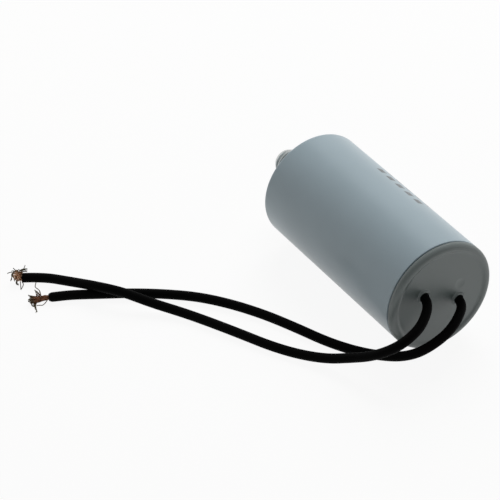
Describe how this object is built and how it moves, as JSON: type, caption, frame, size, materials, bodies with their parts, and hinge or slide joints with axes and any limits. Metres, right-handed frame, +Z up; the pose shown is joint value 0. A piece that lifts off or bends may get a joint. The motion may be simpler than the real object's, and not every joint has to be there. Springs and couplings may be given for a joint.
{
  "type": "motor run capacitor",
  "caption": "Cylindrical moulded motor run capacitor with a threaded mounting stud at its base and flexible stranded leads out of its lid, potted film winding inside.",
  "frame": {"origin": "on the floor, below the middle of the can, lid and stud together", "axes": "+X along the can's axis from the stud towards the lid, +Z up from the floor that the can lies on, the leads run out to -Y"},
  "size_m": [0.0901, 0.0939, 0.03],
  "materials": {
    "case_plastic": "satin moulded grey plastic",
    "stud_steel": "zinc-plated steel",
    "lid_plastic": "satin moulded dark grey plastic",
    "core_plastic": "natural plastic tube",
    "metallised_film": "metallised film, edge on",
    "sprayed_zinc": "rough sprayed zinc",
    "solder": "soft solder",
    "copper": "bare copper strand, dulled",
    "resin": "cast potting resin",
    "lead_insulation": "satin black insulation"
  },
  "bodies": {
    "root": {"case": "case_plastic", "mounting_stud": "stud_steel", "lid": "lid_plastic", "winding_core": "core_plastic", "film_winding": "metallised_film", "end_spray_near": "sprayed_zinc", "end_spray_far": "sprayed_zinc", "solder_joint_near": "solder", "solder_joint_far": "solder", "lead_tail_a": "copper", "lead_tail_b": "copper", "potting_resin": "resin", "lead_a": "lead_insulation", "lead_b": "lead_insulation", "copper_strands_a": "copper", "copper_strands_b": "copper"}
  },
  "joints": []
}
